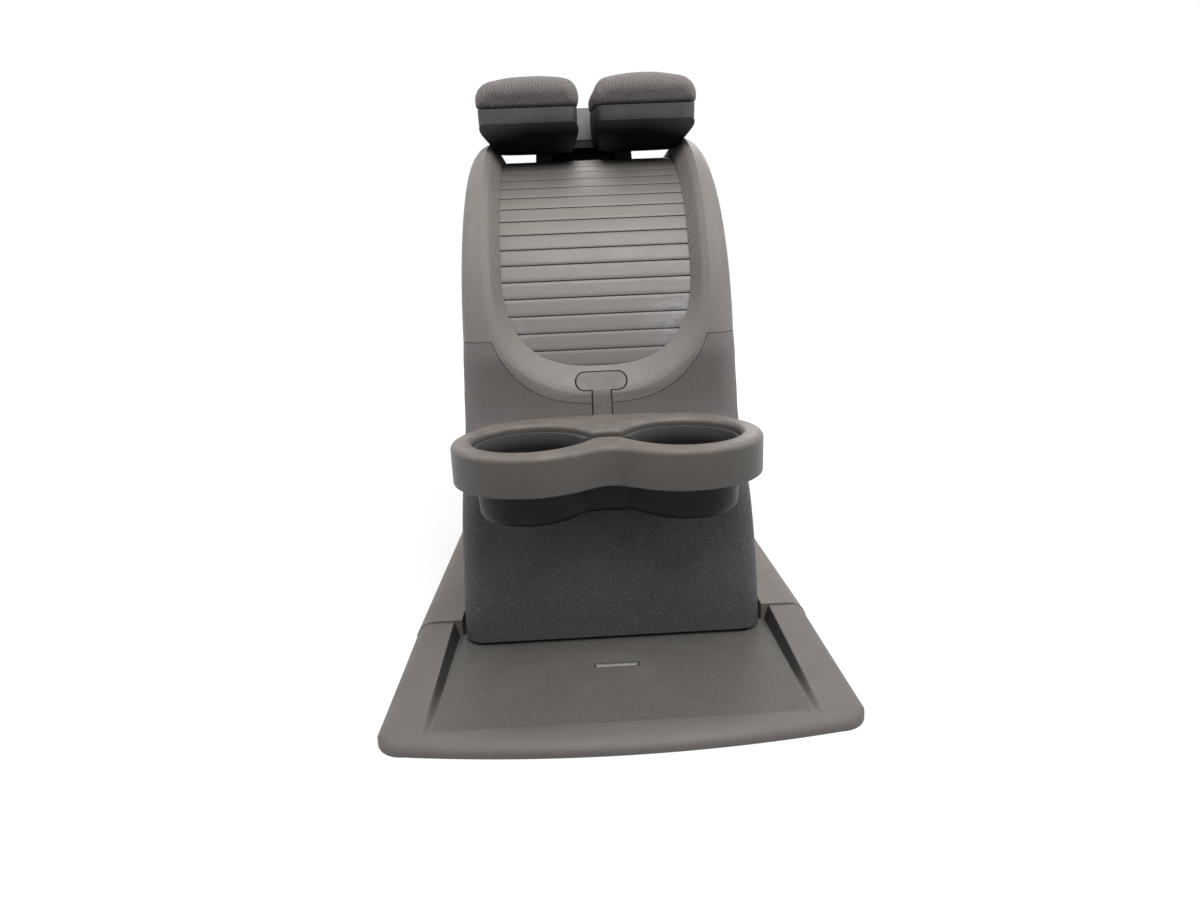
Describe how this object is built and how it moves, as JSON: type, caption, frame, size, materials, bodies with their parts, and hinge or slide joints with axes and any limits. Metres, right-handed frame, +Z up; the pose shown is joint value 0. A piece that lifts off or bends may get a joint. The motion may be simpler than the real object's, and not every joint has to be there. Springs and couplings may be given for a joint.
{
  "type": "car armrest",
  "caption": "Sliding floor console for a car, with twin hinged fabric armrests, a roller shutter over a storage bin and a clip-on double cup holder.",
  "frame": {"origin": "On the floor, on the console's plane of symmetry, under the front of the storage bin", "axes": "+X to the right seen from the dashboard side, +Y towards the rear of the car, +Z up"},
  "size_m": [0.343, 0.644, 0.5182],
  "materials": {
    "shell_brown": "fine-grained brown-grey moulding, slightly worn at the edges",
    "shell_dark": "grained near-black moulding",
    "shutter_taupe": "satin taupe slats with scuffs",
    "trim_brown": "grained brown-grey floor moulding",
    "inner_black": "plain black moulding",
    "cover_grey": "smooth mid grey",
    "hull_dark": "satin dark grey",
    "fabric": "dark brown-grey woven cloth over foam",
    "steel": "zinc-plated sheet",
    "bush_white": "natural acetal"
  },
  "bodies": {
    "base": {"floor_tray": "trim_brown", "rear_floor_trim": "trim_brown", "floor_plate": "steel", "rail_left": "steel", "rail_right": "steel", "rail_bolt_front_left": "steel", "rail_bolt_rear_left": "steel", "rail_bolt_front_right": "steel", "rail_bolt_rear_right": "steel"},
    "console": {"carriage": "steel", "glide_front_left": "inner_black", "glide_rear_left": "inner_black", "glide_front_right": "inner_black", "glide_rear_right": "inner_black", "inner_frame": "steel", "lower_shell": "shell_dark", "upper_shell": "shell_brown", "rear_panel": "shell_dark", "storage_bin": "inner_black", "shutter_track_left": "inner_black", "shutter_track_right": "inner_black", "cup_ring": "shell_brown", "cup_insert": "shell_dark", "armrest_pillar": "inner_black", "pillar_cover": "cover_grey", "pillar_bolt_left": "steel", "pillar_bolt_right": "steel", "hinge_shaft": "steel", "shaft_cap_left": "inner_black", "shaft_cap_right": "inner_black"},
    "curtain": {"shutter": "shutter_taupe"},
    "left_armrest": {"left_hull": "hull_dark", "left_bush": "bush_white", "left_carrier_plate": "steel", "left_pad": "fabric"},
    "right_armrest": {"right_hull": "hull_dark", "right_bush": "bush_white", "right_carrier_plate": "steel", "right_pad": "fabric"}
  },
  "joints": [
    {"name": "console_slide", "type": "slide", "parent": "base", "child": "console", "axis": [0, -1, 0], "range_m": [0, 0.1]},
    {"name": "shutter_roll", "type": "hinge", "parent": "console", "child": "curtain", "pos_m": [0, 0.138, 0.242], "axis": [1, 0, 0], "range_deg": [0, 76]},
    {"name": "left_armrest_hinge", "type": "hinge", "parent": "console", "child": "left_armrest", "pos_m": [-0.0785, 0.29, 0.486], "axis": [-1, 0, 0], "range_deg": [0, 100]},
    {"name": "right_armrest_hinge", "type": "hinge", "parent": "console", "child": "right_armrest", "pos_m": [0.0785, 0.29, 0.486], "axis": [-1, 0, 0], "range_deg": [0, 100]}
  ]
}
